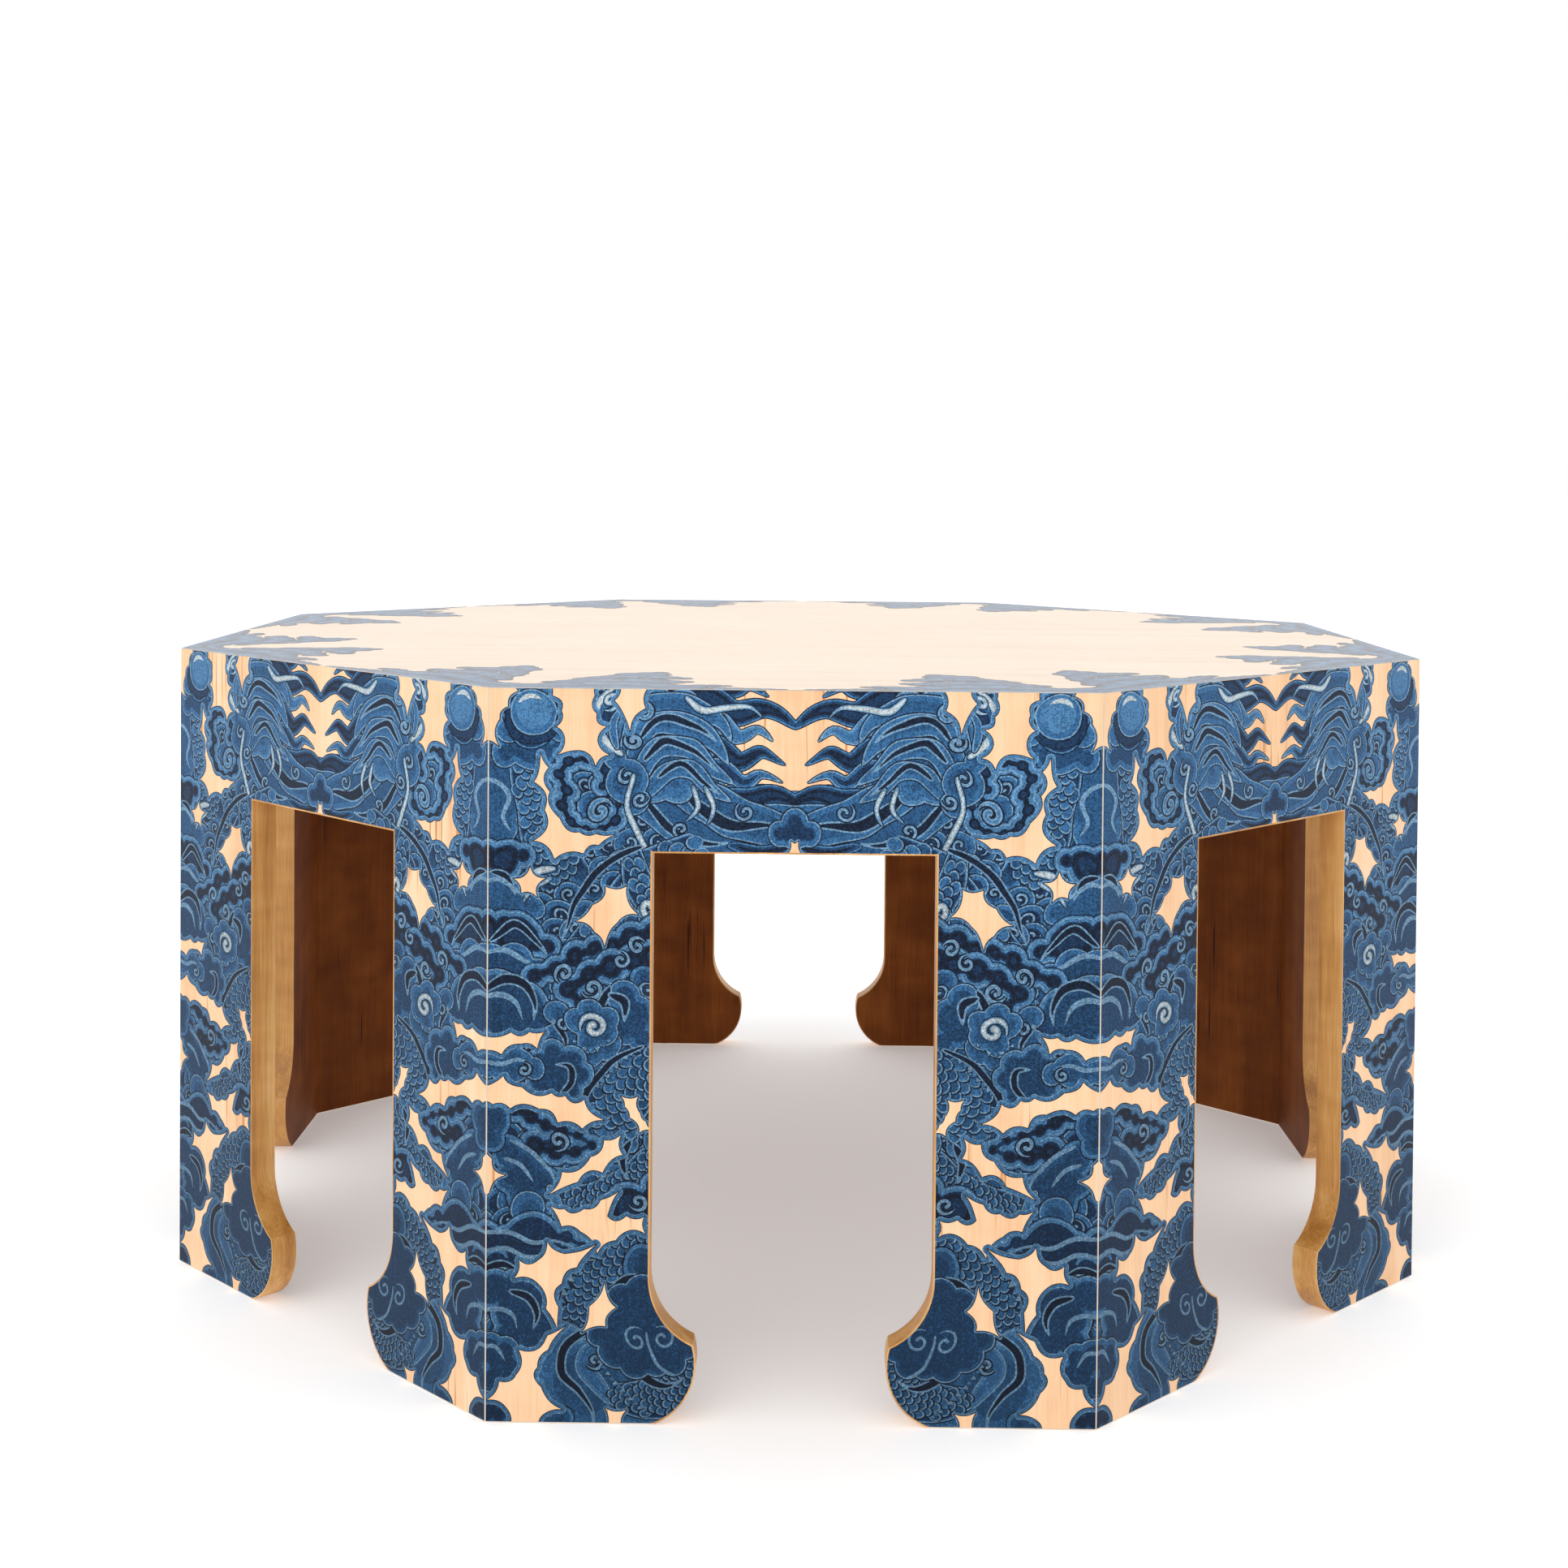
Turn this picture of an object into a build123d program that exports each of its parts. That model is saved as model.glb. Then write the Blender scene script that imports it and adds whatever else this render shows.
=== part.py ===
from build123d import *
import os
from math import cos, radians, sin, sqrt, tan

# Low octagonal table: eight mitred plywood sides, each cut away into two legs and an apron,
# under a plywood top. All show faces are maple veneer.
# Millimetres, +Z up. Origin on the floor under the middle of the top, front side towards -Y.

# Driving dimensions
ACROSS_FLATS = 914.4
HEIGHT = 457.2
PANEL_THICKNESS = 19.05
LEG_WIDTH = 101.6
APRON_DEPTH = 101.6

# Foot profile: a hollow cove runs out from the leg to a crisp tip, then a round sweep
# runs back under it to the floor. The sweep's centre lies inside the leg's inner edge.
COVE_RADIUS = 46.0
COVE_TOP = 92.0
SWEEP_RADIUS = 40.0
SWEEP_CENTRE_IN = 11.0
SWEEP_CENTRE_HEIGHT = 38.0

# Skins
VENEER = 0.6
EDGE_BAND = 1.0

# Joinery
SPLINE_THICKNESS = 4.0
SPLINE_WIDTH = 12.0
CORNER_SPLINE_INSET = 8.0
CORNER_SPLINE_BOTTOM = 20.0
CORNER_SPLINE_TOP = 425.0
TOP_SPLINE_INSET = 8.0
TOP_SPLINE_END_GAP = 45.0
GLUE_BLOCK_LEG = 22.0
GLUE_BLOCK_LENGTH = 80.0

# Floor glides, let into the end of each leg
GLIDE_PROUD = 1.0
GLIDE_THICKNESS = 3.0
GLIDE_RADIUS = 7.0
GLIDE_SHANK_RADIUS = 1.5
GLIDE_SHANK_LENGTH = 12.0

# Sides, anticlockwise from above, starting at the front
SIDE_NAMES = ["front", "front_right", "right", "back_right", "back", "back_left", "left", "front_left"]
SIDE_COUNT = len(SIDE_NAMES)
SIDE_TURN = 360 / SIDE_COUNT
HALF_TURN = SIDE_TURN / 2

APOTHEM = ACROSS_FLATS / 2
SIDE_LENGTH = 2 * APOTHEM * tan(radians(HALF_TURN))
PANEL_BOTTOM = GLIDE_PROUD
OPENING_HALF = SIDE_LENGTH / 2 - LEG_WIDTH
OPENING_TOP = HEIGHT - APRON_DEPTH
REACH = 2 * ACROSS_FLATS


def at_side(shape, index):
    """Turn a shape made for the front side round to side number index."""
    return Rot(0, 0, index * SIDE_TURN) * shape


def mitre_height(radius):
    """Height of the 45 degree mitre between side and top, at a distance from the axis."""
    return HEIGHT - APOTHEM + radius


def side_layer(inner, outer):
    """Front-side layer between two distances from the axis, mitred at both ends and the top."""
    section = Polyline(
        (-outer, PANEL_BOTTOM),
        (-inner, PANEL_BOTTOM),
        (-inner, mitre_height(inner)),
        (-outer, mitre_height(outer)),
        close=True,
    )
    layer = extrude(Plane.YZ * make_face(section), amount=SIDE_LENGTH, both=True)
    for hand in (-1, 1):
        normal = (hand * cos(radians(HALF_TURN)), sin(radians(HALF_TURN)), 0)
        layer = split(layer, bisect_by=Plane(origin=(0, 0, 0), z_dir=normal), keep=Keep.BOTTOM)
    return layer


def top_layer(bottom, top):
    """Octagonal layer of the top between two heights, its edges mitred at 45 degrees."""
    outlines = []
    for height in (bottom, top):
        apothem = height - HEIGHT + APOTHEM
        corner_radius = apothem / cos(radians(HALF_TURN))
        octagon = RegularPolygon(corner_radius, SIDE_COUNT, rotation=HALF_TURN)
        outlines.append(Pos(0, 0, height) * octagon)
    return loft(Sketch() + outlines, ruled=True)


def foot_tip(grow):
    """Where the cove and the sweep cross, as distance out from the leg's edge and height."""
    cove = Vector(COVE_RADIUS, COVE_TOP)
    sweep = Vector(-SWEEP_CENTRE_IN, SWEEP_CENTRE_HEIGHT)
    cove_radius = COVE_RADIUS + grow
    sweep_radius = SWEEP_RADIUS - grow
    gap = (sweep - cove).length
    along = (cove_radius**2 - sweep_radius**2 + gap**2) / (2 * gap)
    aside = sqrt(cove_radius**2 - along**2)
    direction = (sweep - cove).normalized()
    return cove + direction * along + Vector(-direction.Y, direction.X) * aside


def arc_about(centre, start, end):
    """Shorter arc between two points at the same distance from a centre."""
    radius = (start - centre).length
    towards_middle = (start + end - centre * 2).normalized()
    return ThreePointArc(start, centre + towards_middle * radius, end)


def foot_edge(grow):
    """Edge of a foot as distances out from the leg's edge and heights: cove, then sweep."""
    cove_centre = Vector(COVE_RADIUS, COVE_TOP)
    sweep_centre = Vector(-SWEEP_CENTRE_IN, SWEEP_CENTRE_HEIGHT)
    tip = foot_tip(grow)
    toe_out = sqrt((SWEEP_RADIUS - grow) ** 2 - SWEEP_CENTRE_HEIGHT**2) - SWEEP_CENTRE_IN
    cove = arc_about(cove_centre, Vector(-grow, COVE_TOP), tip)
    sweep = arc_about(sweep_centre, tip, Vector(toe_out, 0))
    return cove + sweep


def opening_face(grow=0):
    """Outline of the arch between the legs, down to the floor, moved out by grow all round."""
    half = OPENING_HALF + grow
    top = OPENING_TOP + grow
    right_foot = Pos(OPENING_HALF, 0) * mirror(foot_edge(grow), about=Plane.YZ)
    left_foot = mirror(right_foot, about=Plane.YZ)
    head = Polyline((-half, COVE_TOP), (-half, top), (half, top), (half, COVE_TOP))
    toe = OPENING_HALF + SWEEP_CENTRE_IN - sqrt((SWEEP_RADIUS - grow) ** 2 - SWEEP_CENTRE_HEIGHT**2)
    return make_face(head + right_foot + Line((toe, 0), (-toe, 0)) + left_foot)


def through_front(face):
    """Cutter that carries a face in the XZ plane right through the front side."""
    return extrude(Plane.XZ * face, amount=REACH)


def opening_edge_band(opening, core_opening):
    """Maple strips round the arch: one on the apron, one down each leg, one under each foot."""
    ring = side_layer(APOTHEM - PANEL_THICKNESS, APOTHEM) & through_front(core_opening)
    ring -= through_front(opening)
    strips = []
    tip_height = foot_tip(0).Y
    for bottom, top in ((0, tip_height), (tip_height, OPENING_TOP), (OPENING_TOP, HEIGHT)):
        block = Box(SIDE_LENGTH, 4 * PANEL_THICKNESS, top - bottom)
        strips += (ring & Pos(0, -APOTHEM, (bottom + top) / 2) * block).solids()
    return strips


def corner_spline():
    """Upright plywood spline across the mitre at the front side's right-hand corner."""
    inner_corner = (APOTHEM - PANEL_THICKNESS) / cos(radians(HALF_TURN))
    length = CORNER_SPLINE_TOP - CORNER_SPLINE_BOTTOM
    spline = Box(SPLINE_WIDTH, SPLINE_THICKNESS, length)
    placed = Pos(0, -inner_corner - CORNER_SPLINE_INSET, CORNER_SPLINE_BOTTOM + length / 2) * spline
    return Rot(0, 0, HALF_TURN) * placed


def top_spline():
    """Plywood spline across the mitre between the front side and the top."""
    length = SIDE_LENGTH - 2 * TOP_SPLINE_END_GAP
    spline = Rot(45, 0, 0) * Box(length, SPLINE_WIDTH, SPLINE_THICKNESS)
    inset = PANEL_THICKNESS - TOP_SPLINE_INSET
    return Pos(0, -APOTHEM + inset, HEIGHT - inset) * spline


def glue_block():
    """Three-cornered block glued into the angle between the front side and the top."""
    inner = APOTHEM - PANEL_THICKNESS
    underside = HEIGHT - PANEL_THICKNESS
    section = Polyline(
        (-inner, underside),
        (-inner, underside - GLUE_BLOCK_LEG),
        (-inner + GLUE_BLOCK_LEG, underside),
        close=True,
    )
    return extrude(Plane.YZ * make_face(section), amount=GLUE_BLOCK_LENGTH / 2, both=True)


def leg_glides():
    """The two glides under the front side's legs, each a disc with a shank."""
    disc = Pos(0, 0, GLIDE_THICKNESS / 2) * Cylinder(GLIDE_RADIUS, GLIDE_THICKNESS)
    shank_middle = GLIDE_THICKNESS + GLIDE_SHANK_LENGTH / 2
    shank = Pos(0, 0, shank_middle) * Cylinder(GLIDE_SHANK_RADIUS, GLIDE_SHANK_LENGTH)
    leg_middle = (SIDE_LENGTH - LEG_WIDTH) / 2
    glide = Pos(0, -APOTHEM + PANEL_THICKNESS / 2, 0) * (disc + shank)
    return [Pos(hand * leg_middle, 0, 0) * glide for hand in (-1, 1)]


def as_group(shapes):
    """Separate solids held in one group."""
    solids = []
    for shape in shapes:
        solids += shape.solids()
    return Compound(children=solids)


def side_parts():
    """The pieces of one side, made in place at the front."""
    opening = opening_face()
    core_opening = opening_face(EDGE_BAND)
    cutter = through_front(core_opening)
    inner_face = APOTHEM - PANEL_THICKNESS
    core = side_layer(inner_face + VENEER, APOTHEM - VENEER) - cutter
    core -= [at_side(corner_spline(), 0), at_side(corner_spline(), -1), top_spline()]
    core -= leg_glides()
    return {
        "side_core": core,
        "face_veneer": side_layer(APOTHEM - VENEER, APOTHEM) - cutter,
        "inner_veneer": side_layer(inner_face, inner_face + VENEER) - cutter,
        "edge_band": as_group(opening_edge_band(opening, core_opening)),
        "corner_spline": corner_spline(),
        "top_spline": top_spline(),
    }


def top_parts():
    """The top's core, with grooves for its splines, and its two veneers."""
    underside = HEIGHT - PANEL_THICKNESS
    core = top_layer(underside + VENEER, HEIGHT - VENEER)
    core -= [at_side(top_spline(), index) for index in range(SIDE_COUNT)]
    return {
        "top_core": core,
        "top_face_veneer": top_layer(HEIGHT - VENEER, HEIGHT),
        "top_under_veneer": top_layer(underside, underside + VENEER),
    }


def whole_table():
    """Every node by name."""
    nodes = top_parts()
    for name, shape in side_parts().items():
        for index, side in enumerate(SIDE_NAMES):
            nodes[f"{name}_{side}"] = at_side(shape, index)
    nodes["glue_blocks"] = as_group(at_side(glue_block(), index) for index in range(SIDE_COUNT))
    nodes["floor_glides"] = as_group(
        at_side(glide, index) for index in range(SIDE_COUNT) for glide in leg_glides()
    )
    return nodes


os.makedirs("parts", exist_ok=True)
for node, solid in whole_table().items():
    export_step(solid, f"parts/{node}.step")
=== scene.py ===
"""Looks of a low octagonal table: bare maple printed with clouds, scrolls and scaled bands in blue ink.

The printed faces are made here as maple sheets with thin ink films on them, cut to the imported
part's own faces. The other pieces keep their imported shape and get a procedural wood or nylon.
Lengths are metres, apart from the artwork, which is drawn in millimetres.
"""

import cmath
import math
import random

import bpy
import numpy as np
from mathutils import Matrix, Vector
from mathutils.geometry import delaunay_2d_cdt


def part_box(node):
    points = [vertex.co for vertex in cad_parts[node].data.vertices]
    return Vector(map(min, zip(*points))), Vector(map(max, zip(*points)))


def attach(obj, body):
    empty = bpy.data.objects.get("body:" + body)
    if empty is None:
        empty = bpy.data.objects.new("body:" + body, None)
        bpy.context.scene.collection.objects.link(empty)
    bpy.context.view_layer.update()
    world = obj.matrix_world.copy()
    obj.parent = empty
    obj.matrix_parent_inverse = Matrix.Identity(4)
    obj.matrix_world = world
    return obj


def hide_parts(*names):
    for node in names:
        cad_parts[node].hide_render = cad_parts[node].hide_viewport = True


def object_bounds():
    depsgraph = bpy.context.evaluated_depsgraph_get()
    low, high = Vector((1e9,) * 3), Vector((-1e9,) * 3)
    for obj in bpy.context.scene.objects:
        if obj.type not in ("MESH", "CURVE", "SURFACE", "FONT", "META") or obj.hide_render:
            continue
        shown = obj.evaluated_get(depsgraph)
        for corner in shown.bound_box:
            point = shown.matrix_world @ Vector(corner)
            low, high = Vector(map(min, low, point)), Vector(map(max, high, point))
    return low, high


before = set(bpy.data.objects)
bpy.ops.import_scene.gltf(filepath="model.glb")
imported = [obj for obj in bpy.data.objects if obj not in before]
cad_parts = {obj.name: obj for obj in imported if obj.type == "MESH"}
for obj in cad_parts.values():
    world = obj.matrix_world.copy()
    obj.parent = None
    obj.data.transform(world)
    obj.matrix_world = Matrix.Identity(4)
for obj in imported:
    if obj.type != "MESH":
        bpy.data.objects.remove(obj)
CAD_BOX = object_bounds()

MM = 0.001
TAU = 2 * math.pi

# The table's sides, and its sizes as packed
SIDES = ("front", "front_right", "right", "back_right", "back", "back_left", "left", "front_left")
SIDE_TURN = TAU / len(SIDES)
APOTHEM = CAD_BOX[1].x
HEIGHT = CAD_BOX[1].z
SIDE_LENGTH = 2 * APOTHEM * math.tan(SIDE_TURN / 2)
HALF_SIDE = SIDE_LENGTH / 2 / MM
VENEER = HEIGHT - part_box("top_face_veneer")[0].z

# Thickness of the ink, the eased edge of a sheet, and a sheet's rings of corners, each as its
# depth below the show face and how far it is eased
INK = 0.1 * MM
BEVEL = 0.45 * MM
SHEET_RINGS = ((INK, BEVEL), (INK + BEVEL, 0), (VENEER, 0))

# Artwork, in millimetres: the bare strip along a sheet's edges, how far an ink film's outline may
# be from the drawn one, how near two points are taken as one, and the least half width of a stroke
BARE_MARGIN = 0.55
FLATNESS = 0.06
PAINT_SNAP, TILE_SNAP, TINY = 1e-4, 1e-5, 1e-6
THINNEST = 0.05

# Half width of the neck between two lobes as a share of the smaller one's radius, and how far a
# bare patch's lobes bulge as a share of their length
NECK = 0.72
LOBE_BULGE = 0.2
SCALE_TONES = ("blue", "deep", "blue", "deep")

# Camera
SENSOR = 36
LENS = 50.09
CAMERA_PLACE = Vector((0.0079, -1.7966, 0.5924))
CAMERA_YAW, CAMERA_PITCH, CAMERA_ROLL = (math.radians(a) for a in (0.689, -1.157, -0.457))
CAMERA_SHIFT_Y = -0.1722

# Floor and light
FLOOR_REACH = 60
FLOOR_GLOW = 0.3
WORLD_STRENGTH = 1
KEY_STRENGTH = 0.5
KEY_SPREAD = math.radians(60)
KEY_LEAN, KEY_TURN = math.radians(62), math.radians(-38)

# Ink tones from dark to light, as sRGB shades of 0 to 255, and the tone of the wood between them
TONES = {
    "black": (8, 22, 42),
    "navy": (15, 40, 69),
    "dark": (22, 55, 88),
    "deep": (30, 68, 104),
    "blue": (41, 84, 124),
    "soft": (58, 101, 139),
    "light": (94, 127, 154),
    "pale": (158, 168, 171),
}
BARE = "bare"

# How ink varies: the gain and lift of its thin spots, the gain of its thick ones in a dark and in
# a pale tone, the half width of the ramp between them, how strongly painted shade darkens it
# towards the floor and painted light lifts it towards the top, and the share of the height at
# which neither is painted
INK_LIGHTER, INK_LIFT = 1.22, 16
INK_DARKER, INK_DARKER_PALE = 0.66, 0.9
INK_RAMP = 0.085
INK_PAINTED_SHADE = 0.12
INK_UNSHADED_AT = 0.67


# ---- outlines
# An outline is a list of complex numbers, x + y j in mm.
def disc(centre, r, squash=1, turn=0):
    """Closed round outline, or an oval one."""
    count = max(8, int(7 + 1.1 * r))
    spokes = [cmath.rect(r, TAU * i / count) for i in range(count)]
    return [centre + complex(p.real, squash * p.imag) * cmath.rect(1, turn) for p in spokes]


def smooth(points, step=2.2):
    """Even points along a Catmull-Rom curve through the given (x, y) ones."""
    points = [complex(*p) for p in points]
    ends = points[:1] + points + points[-1:]
    dense = []
    for a, b, c, d in zip(ends, ends[1:], ends[2:], ends[3:]):
        count = max(2, int(abs(c - b) / step))
        for t in (i / count for i in range(count)):
            curved = (2 * a - 5 * b + 4 * c - d) * t**2 + (3 * b - a - 3 * c + d) * t**3
            dense.append((2 * b + (c - a) * t + curved) / 2)
    return dense + points[-1:]


def normals(path):
    """Unit steps to the left of a path at each of its points."""
    around = zip(path[:1] + path[:-1], path[1:] + path[-1:])
    return [1j * (b - a) / (abs(b - a) or 1) for a, b in around]


def bend(a, b, c):
    """Positive where the way from a through b to c turns left."""
    return ((b - a).conjugate() * (c - b)).imag


def hull(points):
    """Convex outline round some points."""
    ordered = sorted(points, key=lambda p: (p.real, p.imag))
    outline = []
    for way in (ordered, ordered[::-1]):
        chain = []
        for p in way:
            while len(chain) > 1 and bend(*chain[-2:], p) <= 0:
                chain.pop()
            chain.append(p)
        outline += chain[:-1]
    return outline


def strip(path, half_width):
    """Outlines of a band along a path; half_width is a function of 0..1 along it.

    It is one outline where the band is plain, and a row of short ones where it bends too tightly.
    """
    last = len(path) - 1
    aside = [n * max(half_width(i / last), THINNEST) for i, n in enumerate(normals(path))]
    left = [p + a for p, a in zip(path, aside)]
    right = [p - a for p, a in zip(path, aside)]
    for edge in (left, right):
        for a, b, c, d in zip(path, path[1:], edge, edge[1:]):
            if ((b - a).conjugate() * (d - c)).real <= 0:
                return [hull(left[i : i + 2] + right[i : i + 2]) for i in range(last)]
    return [left + right[::-1]]


def spiral(centre, r, start, turns, hand):
    """Points winding in from radius r to a fifth of it."""
    count = max(10, int(turns * 22))
    shares = [i / count for i in range(count + 1)]
    return [centre + cmath.rect(r * (1 - 0.8 * t), start + hand * TAU * turns * t) for t in shares]


def spaced(path, pitch):
    """Numbers of the points at which a path has gone on by a pitch."""
    travelled, following, rows = 0, 0, []
    for i, (a, b) in enumerate(zip(path, path[1:])):
        if travelled >= following:
            rows.append(i)
            following = travelled + pitch
        travelled += abs(b - a)
    return rows


def tooth(place, normal, r):
    """Outline of a curved tooth that leans on a base line through a place."""
    first, last = place + 0.62j * r * normal, place - 0.62j * r * normal
    tip = place + (1.15 - 0.3j) * r * normal
    outline = []
    for a, b in ((first, tip), (tip, last)):
        bulge = 0.62 * (a + b) - 0.24 * place
        outline += [(1 - t) ** 2 * a + 2 * t * (1 - t) * bulge + t * t * b for t in (0, 0.33, 0.67)]
    return outline + [last]


def cusp_room(before, cusp, after, hand):
    """How far lobes may bulge at a cusp, as a share of their length, without crossing there."""
    turn = hand * cmath.phase((cusp - before).conjugate() * (after - cusp))
    return math.tan(min(0.38 * (math.pi - turn), 1.2)) / 4


def lobed(cusps, lobe):
    """Closed outline through some cusps: from one to the next it is a row of lobes bulging inwards."""
    rng = random.Random(5 + int(10 * cusps[0][0]) + int(10 * cusps[0][1]))
    cusps = [complex(*p) for p in cusps]
    before, following = cusps[-1:] + cusps[:-1], cusps[1:] + cusps[:1]
    hand = 1 if sum((a.conjugate() * b).imag for a, b in zip(cusps, following)) > 0 else -1
    room = [cusp_room(*corner, hand) for corner in zip(before, cusps, following)]
    closed = []
    for a, b, first, last in zip(cusps, following, room, room[1:] + room[:1]):
        length = abs(b - a)
        count = max(1, round(length / lobe))
        cuts = [0] + [(i + rng.uniform(-0.26, 0.26)) / count for i in range(1, count)] + [1]
        for number, (start, end) in enumerate(zip(cuts, cuts[1:])):
            bulge = LOBE_BULGE * rng.uniform(0.7, 1.3)
            if number == 0:
                bulge = min(bulge, first)
            if number == count - 1:
                bulge = min(bulge, last)
            steps = max(4, int(length * (end - start) / 1.7))
            for t in (i / steps for i in range(steps)):
                rise = hand * 4 * t * (1 - t) * bulge * (end - start)
                closed.append(a + (b - a) * (start + (end - start) * t + 1j * rise))
    return closed


# ---- strokes
# Coats: how far in from the edge each tone starts
RIM = (-0.8, "black")
LINE = (-0.7, "black")
DEEP_CLOUD = (RIM, (0, "light"), (0.8, "soft"), (3.2, "deep"), (4.4, "dark"))
LOW_CLOUD = (RIM, (0, "soft"), (1, "light"), (1.7, "soft"), (3.8, "navy"))
NIGHT_CLOUD = (*LOW_CLOUD, (5, "black"), (8, "navy"))
DARK_CLOUD = (RIM, (0, "light"), (0.8, "blue"), (3.6, "dark"), (4.6, "navy"))
BLUE_CLOUD = (RIM, (0, "light"), (0.8, "blue"), (4, "dark"))
SOFT_CLOUD = (RIM, (0, "light"), (0.8, "blue"), (4, "deep"))
MILD_CLOUD = (RIM, (0, "soft"), (2.2, "deep"), (6, "dark"))
CURLED_CLOUD = (RIM, (0, "soft"), (1, "light"), (2, "soft"), (4.2, "black"), (6, "navy"))
WAVE_CLOUD = (RIM, (0, "light"), (0.9, "soft"), (3, "blue"), (9, "deep"))
SWIRLED_CLOUD = (RIM, (0, "soft"), (1, "light"), (1.8, "soft"), (4.2, "blue"), (9, "deep"))
FOOT_CLOUD = (RIM, (0, "light"), (0.9, "deep"), (3, "dark"))
BANK = (RIM, (0, "navy"), (2.6, "dark"), (4, "blue"), (7, "soft"))
LIGHT_LINE = ((0, "light"),)
DARK_LINE = ((0, "navy"),)
FLAME = (LINE, (0, "light"), (0.8, "blue"), (2.6, "navy"))
DARK_FLAME = (LINE, (0, "soft"), (0.9, "dark"), (2.4, "black"), (4.6, "navy"))
BLUE_FLAME = (LINE, (0, "light"), (0.8, "soft"), (2.4, "blue"))
STRAND = (LINE, (0, "light"), (0.8, "pale"))
SHORE = ((2.9, "light"), (2.4, "soft"), (0.5, "black"))
THIN_SHORE = ((1.5, "light"), (0.95, "soft"), (0.45, "black"))


class Sheet:
    """A list of shapes, each painted over those before it. Places are given as (x, y) in mm."""

    def __init__(self):
        """Start with nothing painted."""
        self.shapes = []

    def add(self, outline, tone):
        """Paint a closed outline."""
        self.shapes.append((outline, tone))

    def band(self, path, half_width, tone):
        """Paint a band along a path."""
        for outline in strip(path, half_width):
            self.add(outline, tone)

    def chain(self, lobes, coats):
        """Row of run-together discs."""
        self.cloud(lobes, coats, heart=False)

    def cloud(self, lobes, coats=SOFT_CLOUD, heart=True):
        """Run-together discs, with a larger one as their heart unless they only make a chain."""
        lobes = [(complex(x, y), r) for x, y, r in lobes]
        middle = sum(p for p, r in lobes) / len(lobes)
        reach = sum(abs(p - middle) + 0.35 * r for p, r in lobes) / len(lobes)
        for inset, tone in coats:
            for p, r in lobes:
                if r - inset > 0.8:
                    self.add(disc(p, r - inset), tone)
            if heart and len(lobes) > 2 and reach - inset > 1:
                self.add(disc(middle, reach - inset), tone)
            for (a, ra), (b, rb) in zip(lobes, lobes[1:]):
                neck = NECK * min(ra, rb) - inset
                if neck > 0.5:
                    self.band([a, (a + b) / 2, b], lambda t: neck, tone)

    def ribbon(self, points, width, coats, blunt, peak=0.4):
        """Leaf-like band: blunt is the share of its width it starts with, peak where it is widest."""
        path = smooth(points)
        span = len(path) - 1

        def half(t, inset):
            """Half width at a share t of the length, less an inset."""
            rise = (t / peak) if t < peak else (1 - t) / (1 - peak)
            swell = math.sin(min(max(rise, 0), 1) * math.pi / 2) ** 0.8
            if t < peak:
                swell = blunt + (1 - blunt) * swell
            return width / 2 * swell - inset

        for inset, tone in coats:
            start, end = 0, span
            if inset > 0:
                keep = [i for i in range(span + 1) if half(i / span, inset) > 0.25]
                if len(keep) < 3:
                    continue
                start, end = keep[0], keep[-1]
            kept = path[start : end + 1]
            self.band(kept, lambda t: half((start + t * (end - start)) / span, inset), tone)
            if start == 0:
                self.add(disc(path[0], max(half(0, inset), 0.3)), tone)

    def wave(self, points, width):
        """Light line that follows the swell of a wave."""
        self.ribbon(points, width, LIGHT_LINE, 0.6)

    def hook(self, points, width, glow=1.1):
        """Black tapering stroke with a light edge, as beside a curl."""
        self.ribbon(points, width + 2 * glow, ((0, "light"), (glow, "black")), 0.5, 0.35)

    def curl(self, x, y, r, start, hand, turns, width, coats=STRAND):
        """Spiral stroke, pale unless its coats say otherwise, that ends in a round bulb."""
        path = spiral(complex(x, y), r, math.radians(start), turns, hand)

        def half(t):
            """Half width at a share t of the length."""
            return width / 2 * math.sin(min(t * 3 + 0.12, 1) * math.pi / 2)

        for inset, tone in coats:
            self.band(path, lambda t: max(half(t) - inset, 0.15), tone)
            self.add(disc(path[-1], max(width * 0.62 - inset, 0.4)), tone)

    def swirl(self, x, y, r, start, hand, turns=1.1, width=1.8):
        """Thin light spiral with a black edge."""
        self.curl(x, y, r, start, hand, turns, width, ((-1, "black"), (0, "light")))

    def pearl(self, x, y, r):
        """Round pearl in a dark cup, with a pale shine near the top."""
        for lift, radius, tone in (
            (-0.16, r * 1.22, "black"),
            (-0.16, r * 1.16, "navy"),
            (0.06, r + 0.9, "black"),
            (0.06, r, "light"),
            (0.06, r - 0.9, "blue"),
            (0.16, r * 0.78, "soft"),
        ):
            self.add(disc(complex(x, y + lift * r), radius), tone)
        shine = [complex(x, y + 0.06 * r) + cmath.rect(0.72 * r, angle) for angle in (2.6, 2.1, 1.6, 1.1)]
        self.ribbon([(p.real, p.imag) for p in shine], r * 0.2, ((0, "pale"),), 0.3, 0.5)

    def scales(self, points, widths, size, seed):
        """Rounded scales in staggered rows along a band, each row over the end of the next."""
        rng = random.Random(seed)
        path = smooth(points, 1.2)
        side = normals(path)

        def half(t):
            """Half width at a share t of the length."""
            f = t * (len(widths) - 1)
            i = min(int(f), len(widths) - 2)
            return (widths[i] + (widths[i + 1] - widths[i]) * (f - i)) / 2

        for inset, tone in ((0, "black"), (0.8, "light"), (1.6, "blue"), (2.4, "navy")):
            self.band(path, lambda t: half(t) - inset, tone)
        for number, i in enumerate(reversed(spaced(path, size * 0.62))):
            reach = half(i / (len(path) - 1)) - 0.9 - size * 0.42
            across = int(reach / size) + 1
            for k in range(-across, across + 1):
                w = (k + number % 2 / 2) * size
                if abs(w) <= reach:
                    self.scale(path[i] + side[i] * w, side[i], size, rng)

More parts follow.
